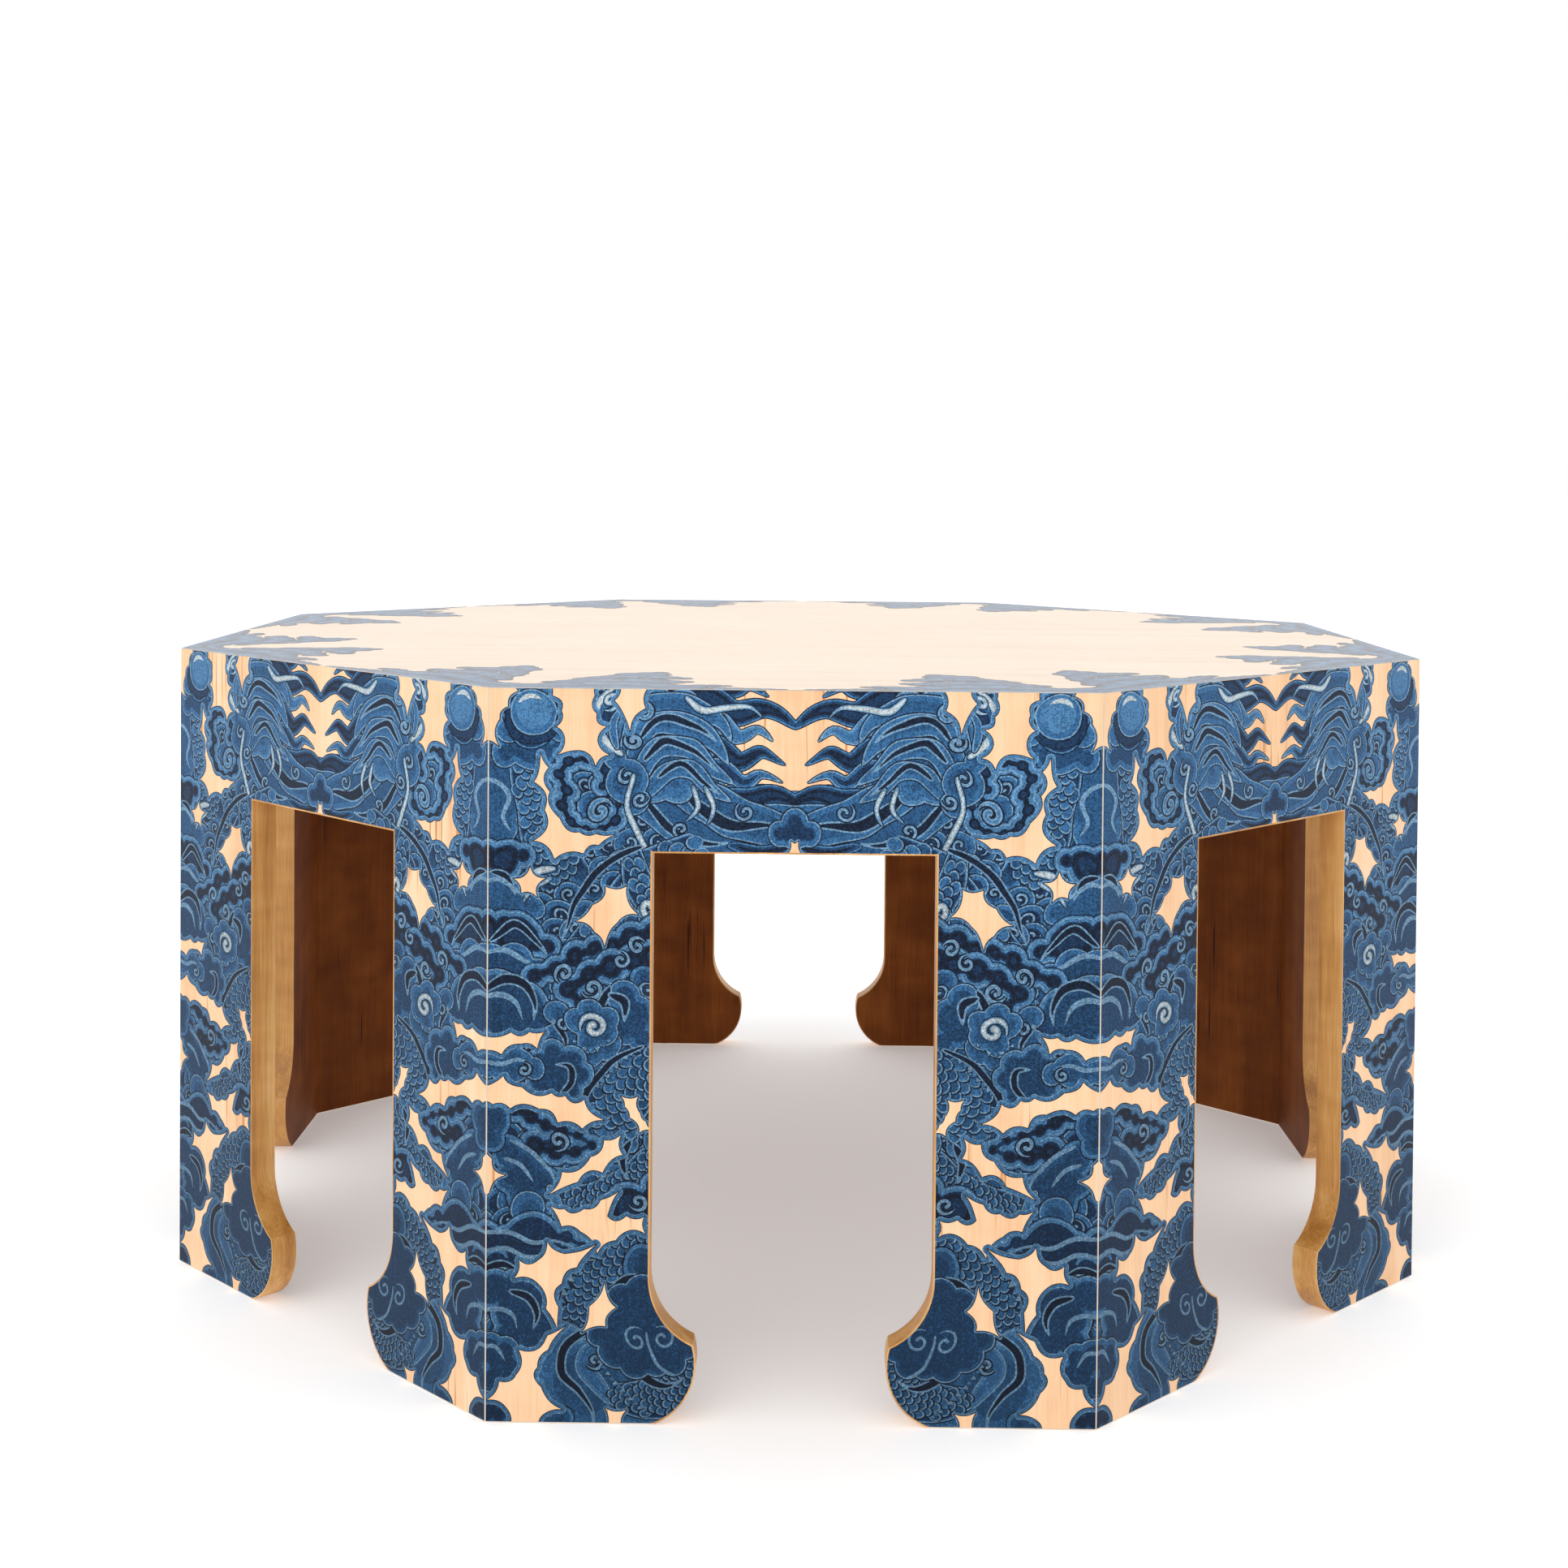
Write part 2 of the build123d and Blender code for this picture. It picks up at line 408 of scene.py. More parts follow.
    def scale(self, place, normal, size, rng):
        """One scale, a little out of place, with a dark line under it."""
        place += complex(rng.uniform(-0.4, 0.4), rng.uniform(-0.4, 0.4))
        turn = cmath.phase(normal) + rng.uniform(-0.2, 0.2)
        r = size * 0.54 * rng.uniform(0.94, 1.06)
        self.add(disc(place - 0.7j * normal, r + 0.35, 1.22, turn), "black")
        self.add(disc(place, r, 1.22, turn), "light")
        self.add(disc(place + 0.2j * normal, r - 0.72, 1.24, turn), rng.choice(SCALE_TONES))

    def frill(self, points, size, tones=("light", "soft")):
        """Row of small pointed scallops along the left of a path, each with a thin rim."""
        path = smooth(points, size * 0.85)
        for i, (p, normal) in enumerate(zip(path, normals(path))):
            r = size * (0.5 + 0.5 * math.sin(math.pi * (i + 0.5) / len(path)))
            for shrink, tone in ((1, "black"), (0.8, tones[i % len(tones)])):
                self.add([p + (q - p) * shrink for q in tooth(p, normal, r)], tone)

    def gap(self, cusps, lobe=14, coats=SHORE):
        """Bare wood between clouds, with a shore round it."""
        closed = lobed(cusps, lobe)
        for reach, tone in coats:
            for a, b in zip(closed, closed[1:] + closed[:1]):
                self.add(hull(disc(a, reach) + disc(b, reach)), tone)
        self.add(closed, BARE)

    def nook(self, cusps, lobe=14):
        """Small bare patch with a thin shore."""
        self.gap(cusps, lobe, THIN_SHORE)


# ---- artwork
# Each function draws a part of the left half of a side on a sheet s: x from the corner to the
# middle, y up from the floor, in mm.
def ground(s):
    """Small clouds all over, that show wherever nothing larger lies on them."""
    rng = random.Random(12)
    pitch = 13
    for row in range(int(470 / pitch)):
        for column in range(16):
            x = (column + 0.5 * (row % 2)) * pitch + rng.uniform(-2.5, 2.5)
            y = 462 - row * pitch + rng.uniform(-2.5, 2.5)
            if x > 112 and y < 345 and (y > 130 or x > 140):
                continue  # within the arch's opening
            r = rng.uniform(8, 11)
            heart = rng.choice(("deep", "navy", "dark"))
            s.cloud([(x, y, r)], (LINE, (0, "light"), (0.8, "blue"), (3.4, heart)))
            if rng.random() < 0.6:
                s.swirl(x, y + 1, r * 0.5, rng.uniform(0, 360), rng.choice((-1, 1)), 1, 1.4)


def pearl_column(s):
    """Pearl at the top of the corner, on a column of clouds and scales, with a rolled cloud beside it."""
    s.cloud([(4, 412, 14), (10, 396, 14), (-2, 384, 14), (6, 370, 12)])
    s.scales([(26, 408), (30, 386), (36, 364), (50, 340)], [26, 30, 34, 34], 6.8, seed=5)
    s.wave([(-2, 402), (6, 399), (12, 390), (8, 378), (14, 368)], 3.2)
    s.cloud([(12, 416, 9), (22, 420, 12), (34, 418, 11), (44, 424, 7)], BLUE_CLOUD)
    s.chain([(14, 430, 8), (44, 432, 7)], SOFT_CLOUD)
    cup = (RIM, (0, "soft"), (1, "navy"), (3, "black"))
    s.ribbon([(8, 460), (14, 440), (27, 424), (40, 438), (47, 460)], 12, cup, 0.8)
    s.pearl(27, 441, 14.5)
    s.chain([(70, 398, 7), (72, 408, 8), (62, 415, 8), (51, 413, 8), (45, 404, 8), (48, 394, 8), (45, 384, 8),
             (50, 375, 8), (60, 370, 8), (71, 370, 8), (79, 376, 8), (80, 386, 7), (73, 391, 6)],
            CURLED_CLOUD)
    s.curl(68, 382, 8.4, 20, 1, 1.15, 4, ((-1.2, "black"), (0, "light"), (1.2, "soft")))


def apron_tongues(s):
    """Bare wood at the middle of the apron, and the flame-like tongues that lie over it."""
    s.gap([(132, 470), (134, 456), (150, 450), (138, 440), (152, 432), (140, 420), (150, 410), (146, 398),
           (160, 392), (176, 396), (200, 392), (200, 470)])
    for width, coats, points in (
        (12, DARK_FLAME, [(104, 450), (128, 462), (148, 455), (160, 459), (172, 454)]),
        (16, DARK_FLAME, [(104, 436), (130, 452), (150, 441), (170, 446), (194, 434)]),
        (12, BLUE_FLAME, [(110, 424), (136, 438), (154, 427), (166, 432), (177, 426)]),
        (13, DARK_FLAME, [(112, 410), (138, 422), (156, 411), (170, 418), (184, 411)]),
        (10, FLAME, [(120, 400), (142, 410), (158, 399), (170, 404), (182, 399)]),
        (15, DARK_FLAME, [(116, 404), (134, 392), (158, 388), (178, 391), (206, 382)]),
    ):
        s.ribbon(points, width, coats, 0.7)


def sweeping_bands(s):
    """Bands that sweep to the middle below the tongues."""
    s.ribbon([(92, 398), (118, 380), (150, 368), (200, 384)], 34, SOFT_CLOUD, 0.9)
    s.ribbon([(108, 404), (136, 388), (164, 373), (214, 366)], 26, SOFT_CLOUD, 0.9)
    s.hook([(120, 394), (138, 379), (156, 372), (180, 373)], 7)
    s.hook([(98, 386), (112, 372), (130, 364), (150, 362)], 4.6)
    s.ribbon([(150, 360), (166, 356), (184, 360), (200, 372)], 8, DARK_FLAME, 0.5, 0.5)
    s.swirl(158, 381, 6.5, 120, 1)
    s.swirl(120, 371, 5.5, 300, -1, 1, 1.6)
    s.cloud([(189, 376, 9), (180, 368, 8), (190, 364, 6)], DARK_CLOUD)


def wave_crest(s):
    """Great wave that the tongues break from."""
    s.cloud([(92, 444, 10), (104, 449, 11), (118, 446, 12), (128, 436, 12), (130, 422, 12), (126, 408, 12),
             (114, 398, 12), (102, 396, 11), (92, 404, 10), (86, 416, 9), (88, 430, 10)], WAVE_CLOUD)
    for width, points in (
        (14, [(86, 420), (98, 446), (120, 448), (142, 436), (150, 424)]),
        (14, [(88, 408), (100, 434), (122, 436), (142, 422), (150, 410)]),
        (13, [(90, 398), (104, 420), (124, 422), (140, 408), (152, 398)]),
        (12, [(96, 390), (110, 406), (126, 408), (138, 396), (150, 388)]),
    ):
        s.ribbon(points, width, SOFT_CLOUD, 0.6, 0.5)
    s.hook([(94, 426), (108, 440), (126, 436), (142, 424)], 3.8)
    s.hook([(96, 412), (110, 426), (128, 420), (144, 406)], 3.8)
    s.hook([(104, 402), (118, 412), (132, 402), (144, 392)], 3.4)
    s.curl(97, 443, 7.5, 200, -1, 1.1, 3.2, ((-1.1, "black"), (0, "light"), (1, "soft")))
    s.curl(90, 424, 5.6, 150, 1, 1.1, 2.6, ((-1.1, "black"), (0, "light")))
    s.cloud([(84, 404, 8), (78, 414, 7), (84, 394, 8), (92, 386, 8)])
    s.swirl(84, 402, 5.5, 100, 1)
    s.swirl(94, 388, 5.5, 10, -1)


def pale_wisps(s):
    """Pale strands and a curl over the wave."""
    s.ribbon([(122, 452), (132, 444), (146, 444), (160, 446), (168, 440)], 4.4, STRAND, 0.5, 0.3)
    s.ribbon([(82, 416), (72, 426), (66, 440), (72, 452), (84, 462)], 5.4, STRAND, 0.6, 0.5)
    s.curl(76, 448, 6.6, 240, 1, 1.1, 3)
    s.ribbon([(80, 420), (78, 434), (86, 446)], 5, FLAME, 0.5)
    s.ribbon([(88, 402), (86, 384), (94, 366), (102, 350), (99, 332)], 3.6, STRAND, 0.7, 0.5)
    s.ribbon([(126, 398), (128, 386), (122, 376)], 3.4, STRAND, 0.6, 0.3)
    s.ribbon([(134, 398), (138, 386), (134, 374)], 3.4, STRAND, 0.6, 0.3)


def scaled_band(s):
    """Broad scaled band from the apron down to the corner."""
    s.scales([(134, 352), (108, 338), (88, 318), (68, 298), (52, 278), (40, 254)],
             [40, 44, 42, 38, 34, 26], 8.4, seed=7)
    s.scales([(116, 312), (102, 322), (92, 338), (90, 356)], [24, 22, 20, 14], 6.8, seed=8)
    s.hook([(96, 358), (74, 348), (56, 328), (44, 300)], 4, 0.9)
    s.curl(99, 322, 8, 40, -1, 1, 4)


def corner_banks(s):
    """Banks against the corner, with wave lines over them."""
    s.cloud([(-2, 352, 13), (12, 346, 11), (22, 352, 8)], NIGHT_CLOUD)
    s.cloud([(2, 330, 13), (16, 326, 10), (28, 322, 8), (8, 318, 11)])
    s.cloud([(-4, 306, 14), (10, 308, 11), (24, 304, 11), (36, 298, 9), (20, 296, 10)], NIGHT_CLOUD)
    s.cloud([(0, 284, 14), (16, 286, 12), (30, 280, 10), (12, 272, 12)], BLUE_CLOUD)
    s.hook([(2, 300), (16, 310), (30, 300), (36, 292)], 4.4)
    s.hook([(4, 342), (14, 338), (18, 328)], 3.4)
    s.wave([(-2, 336), (8, 337), (18, 332), (28, 326)], 3.2)
    s.wave([(-2, 292), (10, 293), (22, 288), (34, 282)], 3.2)
    s.ribbon([(42, 346), (32, 344), (20, 336)], 4.6, STRAND, 0.5, 0.3)
    s.ribbon([(40, 340), (30, 334), (22, 324)], 4.2, STRAND, 0.5, 0.3)


def dark_banks(s):
    """Two dark banks that run across the leg, and clouds on its inner edge."""
    s.chain([(30, 278, 9), (42, 284, 9), (54, 292, 10), (66, 296, 9), (78, 296, 10), (90, 302, 11),
             (104, 308, 11)], NIGHT_CLOUD)
    s.chain([(104, 292, 12), (92, 288, 11), (78, 284, 11), (64, 280, 10), (52, 272, 10), (60, 262, 9)],
            NIGHT_CLOUD)
    s.swirl(48, 282, 6.5, 250, -1, 1.15, 2.2)
    s.swirl(94, 298, 6, 30, 1, 1.15, 2.2)
    s.swirl(66, 272, 6.5, 200, 1, 1.15, 2.2)
    s.swirl(84, 288, 5.5, 90, -1)
    s.cloud([(98, 276, 9), (106, 266, 10), (98, 256, 10), (106, 246, 10)], MILD_CLOUD)
    s.swirl(99, 268, 6, 60, 1)
    s.cloud([(84, 266, 10), (92, 256, 10), (86, 246, 10), (96, 240, 9)], BLUE_CLOUD)
    s.hook([(76, 272), (70, 260), (74, 248)], 4)


def corner_mound(s):
    """Round mound at the corner with a black crest, and beside it a pale spiral on a frilled cloud."""
    s.cloud([(6, 262, 20), (24, 258, 16), (36, 250, 12), (30, 244, 10), (12, 246, 14)], DEEP_CLOUD)
    s.hook([(0, 270), (12, 276), (24, 272), (31, 260), (30, 250)], 5)
    s.wave([(-2, 266), (10, 267), (20, 260), (23, 250)], 3.4)
    s.cloud([(44, 256, 8), (50, 248, 8), (42, 240, 8), (54, 238, 8), (64, 232, 9), (74, 236, 9)])
    s.hook([(42, 250), (48, 240), (46, 232)], 3)
    s.swirl(48, 248, 5, 0, 1, 1, 1.6)
    s.cloud([(56, 252, 8), (64, 258, 8), (73, 253, 8), (72, 244, 8), (63, 240, 8)])
    s.curl(65, 249, 8.5, 200, -1, 1.25, 4)
    s.hook([(76, 268), (84, 262), (84, 250)], 4.2)
    s.frill([(74, 240), (68, 236), (60, 236), (54, 240)], 3.6)


def scaled_coil(s):
    """Scaled bands that bend round on the leg's inner edge."""
    s.scales([(122, 222), (100, 218), (84, 204), (76, 186), (80, 164), (92, 148)],
             [24, 34, 38, 36, 32, 26], 7.8, seed=11)
    s.frill([(104, 236), (90, 232), (78, 222), (68, 210)], 4.4)
    s.hook([(96, 234), (78, 226), (64, 208), (60, 188), (66, 170)], 4, 0.9)
    s.scales([(104, 168), (92, 150), (74, 140), (54, 140), (38, 148)], [20, 26, 28, 24, 14], 6, seed=13)
    s.hook([(88, 176), (84, 164), (88, 152)], 4.4)
    s.cloud([(100, 138, 10), (106, 150, 10), (92, 132, 9), (82, 128, 7), (72, 126, 5)], NIGHT_CLOUD)
    s.swirl(96, 138, 6.5, 200, 1, 1.1, 2.2)


def clouds_over_wood(s):
    """Clouds between the bare patches in the middle of the leg."""
    s.cloud([(32, 224, 9), (40, 230, 9), (52, 228, 9), (58, 218, 9), (54, 209, 8), (42, 208, 9),
             (32, 213, 9)], DEEP_CLOUD)
    s.hook([(46, 206), (53, 214), (50, 224), (41, 224)], 3.6)
    s.cloud([(0, 224, 9), (10, 222, 8), (20, 224, 8), (28, 220, 7)])
    s.wave([(-2, 226), (8, 224), (18, 226), (28, 222)], 3)
    s.swirl(22, 219, 4.6, 90, -1)
    s.chain([(6, 196, 10), (18, 196, 9), (29, 192, 9), (38, 187, 8), (48, 184, 8), (57, 180, 7), (64, 173, 7),
             (54, 170, 8), (43, 171, 9), (31, 174, 10), (44, 178, 8)], NIGHT_CLOUD)
    s.swirl(45, 178, 6.5, 250, 1, 1.15, 2.2)


def corner_heap(s):
    """Heap of clouds at the corner with a disc at its foot, and a low bank across the leg."""
    s.cloud([(14, 168, 12), (24, 160, 12), (34, 152, 11), (24, 142, 12), (34, 138, 10), (14, 152, 10)],
            MILD_CLOUD)
    s.cloud([(4, 188, 12), (2, 178, 10)], MILD_CLOUD)
    s.wave([(16, 176), (28, 170), (38, 160), (42, 148)], 3.2)
    s.wave([(10, 164), (20, 160), (28, 151)], 3)
    s.cloud([(26, 134, 10.7)], (LINE, (0, "light"), (0.9, "blue")))
    s.add(disc(27 + 132j, 6.6), "deep")
    s.ribbon([(38, 148), (44, 138), (48, 128), (44, 118)], 7, BLUE_FLAME, 0.6)
    s.cloud([(0, 116, 12), (14, 114, 10), (27, 113, 9), (39, 117, 9), (51, 117, 8), (60, 112, 7),
             (50, 107, 8), (36, 102, 8), (22, 100, 9), (6, 100, 11)], LOW_CLOUD)
    s.wave([(-2, 120), (14, 119), (30, 112), (44, 114), (58, 110)], 3)
    s.wave([(-2, 109), (12, 109), (26, 103), (42, 106)], 3)
    s.hook([(-2, 98), (10, 99), (22, 94)], 4)


def foot_arch(s):
    """Scaled arch over the foot with a scalloped crest."""
    s.scales([(126, 116), (104, 114), (84, 108), (68, 96), (58, 78), (54, 58)],
             [30, 34, 34, 30, 27, 22], 6.8, seed=17)
    s.frill([(112, 132), (94, 128), (76, 120), (60, 106), (48, 88), (44, 66)], 5.2, ("soft", "light"))
    s.cloud([(96, 100, 12), (108, 100, 13), (104, 86, 12), (92, 88, 9)], MILD_CLOUD)
    s.hook([(78, 84), (88, 90), (100, 88), (108, 80)], 5.4)


def foot_corner(s):
    """Clouds at the corner, down to the floor, and a swirling one round the outside of the foot."""
    s.cloud([(4, 84, 13), (17, 86, 10), (28, 80, 9), (36, 71, 9), (38, 60, 9), (29, 52, 9), (16, 54, 11)],
            DEEP_CLOUD)
    s.cloud([(2, 44, 12), (14, 44, 9), (22, 36, 7), (12, 32, 8), (4, 26, 10)], BLUE_CLOUD)
    s.hook([(14, 82), (25, 77), (31, 68), (30, 59)], 4)
    s.wave([(-2, 70), (8, 71), (17, 66), (20, 58)], 3)
    s.wave([(-2, 46), (8, 46), (14, 38)], 2.8)
    s.cloud([(-2, 8, 12), (8, 4, 8)], DARK_CLOUD)
    s.cloud([(52, 54, 10), (44, 46, 10), (38, 34, 9), (42, 22, 9), (50, 12, 9), (58, 2, 10), (78, 2, 12),
             (98, 10, 14), (94, 32, 18), (74, 44, 14), (62, 28, 14)], SWIRLED_CLOUD)
    s.hook([(86, 56), (68, 60), (52, 50), (48, 34), (58, 20), (66, 8), (68, -6)], 4.6)
    inner = ((0, "light"), (0.8, "soft"), (2.6, "blue"))
    s.ribbon([(84, 48), (68, 46), (62, 34), (72, 20), (82, 8)], 12, inner, 0.7)
    s.swirl(68, 38, 5.5, 200, 1)
    s.cloud([(46, 4, 8), (38, 0, 7)], MILD_CLOUD)


def foot_tip(s):
    """Scaled band under the foot, and a cloud with two curls and a stem on its tip."""
    s.scales([(138, 38), (116, 22), (96, 16), (78, 18)], [38, 36, 28, 14], 5.8, seed=19)
    s.frill([(102, 8), (88, 18), (78, 28), (70, 40)], 3.6)
    s.hook([(88, 40), (98, 30), (112, 26), (122, 30)], 4.4)
    s.cloud([(84, 78, 10), (96, 84, 9), (106, 76, 12), (118, 66, 12), (126, 52, 11), (116, 42, 10),
             (104, 40, 9), (92, 38, 10), (80, 44, 10), (74, 56, 10), (78, 68, 9)], FOOT_CLOUD)
    s.curl(94, 53, 8, 60, 1, 1.2, 1.7, LIGHT_LINE)
    s.curl(111, 55, 8, 120, -1, 1.2, 1.7, LIGHT_LINE)
    s.ribbon([(101, 58), (102, 48), (106, 38), (118, 32)], 2.2, LIGHT_LINE, 0.5, 0.5)


def bare_wood(s):
    """Wood left bare between the forms, from the apron down to the foot."""
    s.nook([(-6, 470), (-6, 424), (8, 420), (7, 436), (11, 444), (17, 454), (14, 470)])
    s.gap([(34, 470), (38, 454), (44, 444), (42, 434), (48, 425), (44, 417), (56, 420), (66, 410), (75, 416),
           (69, 424), (74, 432), (67, 441), (65, 452), (69, 470)])
    s.gap([(80, 470), (79, 448), (88, 430), (98, 446), (101, 470)])
    s.gap([(34, 416), (39, 408), (38, 392), (43, 376), (56, 369), (80, 367), (60, 356), (42, 352), (28, 361),
           (34, 380), (29, 398)])
    s.nook([(182, 355), (188, 364), (200, 364), (200, 346), (184, 348)])
    s.nook([(53, 313), (64, 322), (72, 333), (85, 334), (92, 317), (80, 311), (73, 296), (65, 306)])
    s.nook([(18, 338), (27, 346), (37, 340), (32, 328), (22, 330)])
    s.gap([(-6, 245), (14, 243), (36, 243), (30, 232), (20, 236), (8, 230), (-6, 232)])
    s.gap([(-6, 212), (10, 216), (22, 208), (40, 207), (62, 203), (72, 188), (60, 184), (46, 189), (34, 197),
           (16, 195), (-6, 200)])
    s.gap([(82, 180), (84, 167), (72, 156), (56, 152), (38, 143), (46, 158), (63, 166), (72, 176)])
    s.nook([(84, 203), (94, 204), (95, 194), (101, 184), (93, 182), (88, 191)], 7)
    s.nook([(-6, 174), (2, 164), (11, 153), (2, 143), (-6, 132)])
    s.gap([(40, 136), (62, 135), (84, 144), (76, 130), (98, 128), (98, 118), (80, 115), (68, 108), (60, 121),
           (48, 124)])
    s.gap([(17, 90), (21, 101), (33, 101), (40, 113), (50, 106), (68, 114), (56, 99), (46, 88), (44, 74),
           (45, 60), (36, 72), (32, 86)])
    s.gap([(50, 62), (40, 47), (34, 36), (35, 24), (46, 10), (34, 5), (34, -6), (13, -6), (12, 8), (0, 14),
           (8, 25), (20, 30), (22, 46)])
    s.nook([(61, 58), (65, 74), (73, 89), (82, 72), (76, 60)])
    s.nook([(75, 9), (89, 8), (87, -6), (76, -6)])


def side_art():
    """Left half of a side, from the forms that lie lowest to the bare wood."""
    s = Sheet()
    for draw in (ground, pearl_column, apron_tongues, sweeping_bands, wave_crest, pale_wisps, scaled_band,
                 corner_banks, dark_banks, corner_mound, scaled_coil, clouds_over_wood, corner_heap,
                 foot_arch, foot_corner, foot_tip, bare_wood):
        draw(s)
    return s.shapes


def top_art():
    """Left half of the top's border: x from a corner to the middle of a side, y in from its edge, in mm.

    It is a heap of flat banks with their curls, each in front of the one farther in.
    """
    s = Sheet()
    heap = (
        ([(73, 82, 8), (78, 93, 9), (89, 97, 9), (97, 103, 6), (98, 90, 8), (86, 84, 10)], []),
        ([(53, 61, 7), (61, 68, 9), (71, 74, 11), (85, 76, 11), (98, 75, 11), (108, 71, 9), (117, 68, 6)],
         [(70, 72, 5, 200, -1), (92, 75, 6, 60, 1)]),
        ([(36, 38, 6), (44, 42, 8), (55, 48, 11), (70, 51, 12), (85, 52, 12), (99, 49, 12), (111, 45, 9),
          (120, 46, 5)],
         [(56, 49, 6, 100, 1), (78, 54, 6, 250, -1), (102, 50, 6, 320, 1)]),
        ([(-6, 14, 13), (10, 17, 10), (23, 16, 9), (35, 20, 10), (48, 26, 12), (62, 29, 13), (76, 30, 13),
          (90, 28, 13), (103, 22, 12), (115, 16, 10), (127, 19, 8), (137, 21, 6), (145, 20, 3.5)],
         [(50, 28, 6, 180, -1), (74, 34, 6, 90, 1), (96, 30, 6, 300, -1)]),
        ([(-8, 0, 14), (8, 2, 13), (24, 0, 12), (41, 3, 14), (58, 2, 13), (75, 5, 14), (92, 2, 13),
          (109, 3, 12), (124, 1, 12), (138, 2, 10), (150, 0, 9), (161, 1, 7), (171, 1, 5.5), (179, 1, 4)],
         [(8, 5, 6, 90, 1), (40, 6, 6.5, 320, -1), (73, 7, 7, 30, 1), (106, 5, 6, 160, -1),
          (134, 4, 5, 60, 1)]),
    )
    for lobes, curls in heap:
        s.chain(lobes, BANK)
        for x, y, r, start, hand in curls:
            s.curl(x, y, r, start, hand, 1.15, 2.6, DARK_LINE)
    return s.shapes


def swayed(point):
    """A point moved a little, as by an uneven hand, as (x, y)."""
    x, y = point.real, point.imag
    dx = 1.4 * math.sin(0.085 * y + 1.3 * math.sin(0.05 * x)) + 0.4 * math.sin(0.23 * y + 0.11 * x)
    dy = 1.3 * math.sin(0.09 * x + 1.1 * math.sin(0.045 * y)) + 0.4 * math.sin(0.19 * x - 0.13 * y)
    return x + dx, y + dy


def wavy(shapes):
    """Shapes with their outlines drawn a little unevenly."""
    return [([swayed(p) for p in outline], tone) for outline, tone in shapes]


# ---- from artwork to flat tiles
def counter_clockwise(points):
    """The same closed outline, turned the way the triangulation wants it."""
    turned = points[1:] + points[:1]
    area = sum(a[0] * b[1] - b[0] * a[1] for a, b in zip(points, turned))
    return points if area > 0 else points[::-1]


def painted_triangles(shapes, outline):
    """Triangles of an outline, each with the tone of the last shape painted over it."""
    points, faces, tones = [], [], [BARE]
    for shape in [outline] + [s[0] for s in shapes]:
        faces.append(range(len(points), len(points) + len(shape)))
        points += [Vector(p) for p in counter_clockwise(list(shape))]
    tones += [s[1] for s in shapes]
    places, _, triangles, _, _, covers = delaunay_2d_cdt(points, [], faces, 0, PAINT_SNAP, True)
    inside = [(tuple(t), tones[max(cover)]) for t, cover in zip(triangles, covers) if 0 in cover]
    return [(p.x, p.y) for p in places], inside


def tone_borders(triangles):
    """Directed edges between two tones, or at the outside, with the tone on their left."""
    left = {}
    for corners, tone in triangles:
        for i in range(3):
            left[corners[i - 1], corners[i]] = tone
    return {edge: tone for edge, tone in left.items() if left.get(edge[::-1]) != tone}


def border_chains(borders):
    """Borders joined end to end, broken wherever three or more of them meet."""
    neighbours = {}
    for a, b in borders:
        neighbours.setdefault(a, set()).add(b)
        neighbours.setdefault(b, set()).add(a)
    seen, chains = set(), []
    starts = [v for v in neighbours if len(neighbours[v]) != 2] + list(neighbours)
    for start in starts:
        for following in sorted(neighbours[start]):
            if (start, following) in seen:
                continue
            chain = [start, following]
            while len(neighbours[chain[-1]]) == 2 and chain[-1] != start:
                ahead = neighbours[chain[-1]] - {chain[-2]}
                chain.append(ahead.pop() if ahead else chain[-2])
            for a, b in zip(chain, chain[1:]):
                seen.update(((a, b), (b, a)))
            chains.append(chain)
    return chains


def thinned(chain, places):
    """A chain without the points that lie within FLATNESS of a straight line between others."""
    keep = {0, len(chain) - 1}
    spans = [(0, len(chain) - 1)]
    spot = np.array([places[v] for v in chain])
    while spans:
        a, b = spans.pop()
        if b - a < 2:
            continue
        along = spot[b] - spot[a]
        away = spot[a + 1 : b] - spot[a]
        length = math.hypot(*along)
        if length > TINY:
            gap = np.abs(away[:, 0] * along[1] - away[:, 1] * along[0]) / length
        else:
            gap = np.hypot(away[:, 0], away[:, 1])
        worst = int(gap.argmax())
        if gap[worst] > FLATNESS:
            middle = a + 1 + worst
            keep.add(middle)
            spans += [(a, middle), (middle, b)]
    return [chain[i] for i in sorted(keep)]


def tiles(shapes, outline):
    """The painted outline as few triangles: their corners, and the triangles of each tone."""
    places, triangles = painted_triangles(shapes, outline)
    borders = tone_borders(triangles)
    sides = {}
    for chain in border_chains(borders):
        thin = thinned(chain, places)
        tones = (borders.get((chain[0], chain[1])), borders.get((chain[1], chain[0])))
        for a, b in zip(thin, thin[1:]):
            sides[a, b], sides[b, a] = tones
    used = sorted({v for edge in sides for v in edge})
    number = {v: i for i, v in enumerate(used)}
    edges = sorted({tuple(sorted((number[a], number[b]))) for a, b in sides})
    spots = [Vector(places[v]) for v in used]
    corners, _, found, origins, _, _ = delaunay_2d_cdt(spots, edges, [], 0, TILE_SNAP, True)
    origin = [o[0] if o else -1 for o in origins]
    tone_left = {(number[a], number[b]): tone for (a, b), tone in sides.items()}
    return [(c.x, c.y) for c in corners], flooded([tuple(t) for t in found], origin, tone_left)


